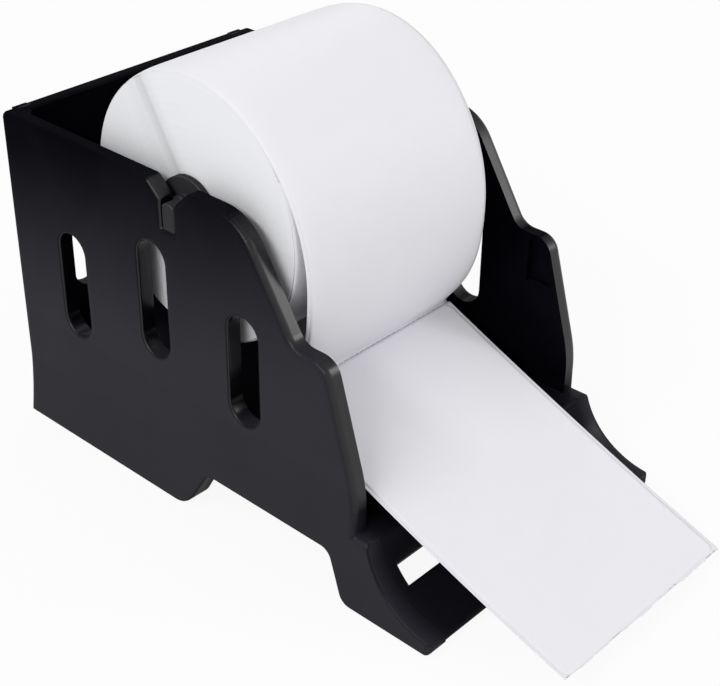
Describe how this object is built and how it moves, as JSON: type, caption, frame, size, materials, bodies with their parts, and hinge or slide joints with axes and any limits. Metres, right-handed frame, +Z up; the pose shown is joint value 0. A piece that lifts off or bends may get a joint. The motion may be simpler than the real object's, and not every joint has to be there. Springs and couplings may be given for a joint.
{
  "type": "label roll holder",
  "caption": "Open-top desk stand that carries a roll of die-cut thermal labels on a lift-out spindle between slotted side panels; the label strip runs out over a curled front sill.",
  "frame": {"origin": "on the table, under the middle of the whole object's box, free strip included; the centre plane between the side panels is x = 0", "axes": "+Z up, the strip runs out towards -Y, +X to the right seen from the front"},
  "size_m": [0.1456, 0.288, 0.1861],
  "materials": {
    "housing_plastic": "satin",
    "spindle_plastic": "satin",
    "pad_rubber": "matte",
    "label_paper": "matte",
    "liner_paper": "satin",
    "core_board": "matte"
  },
  "bodies": {
    "stand": {"side_panel_left": "housing_plastic", "side_panel_right": "housing_plastic", "back_panel": "housing_plastic", "base_plate": "housing_plastic", "foot_pad_rear_left": "pad_rubber", "foot_pad_rear_right": "pad_rubber", "foot_pad_front_left": "pad_rubber", "foot_pad_front_right": "pad_rubber"},
    "spindle": {"spindle_tube": "spindle_plastic", "spindle_cap_left": "spindle_plastic", "spindle_cap_right": "spindle_plastic", "outer_turn": "label_paper"},
    "roll": {"roll_core": "core_board", "label_roll": "label_paper"},
    "tail": {"liner_strip": "liner_paper", "front_label": "label_paper"}
  },
  "joints": [
    {"name": "spindle_lift", "type": "slide", "parent": "stand", "child": "spindle", "axis": [0, 0, 1], "range_m": [0, 0.04]},
    {"name": "roll_spin", "type": "hinge", "parent": "spindle", "child": "roll", "pos_m": [0, 0.0428, 0.1304], "axis": [1, 0, 0], "range_deg": [0, 20.57]},
    {"name": "tail_feed", "type": "slide", "parent": "spindle", "child": "tail", "axis": [0, -0.9317, -0.3632], "range_m": [0, 0.0201]}
  ],
  "couplings": [
    {"joint": "tail_feed", "follows": "roll_spin", "m_per_rad": 0.0557}
  ]
}
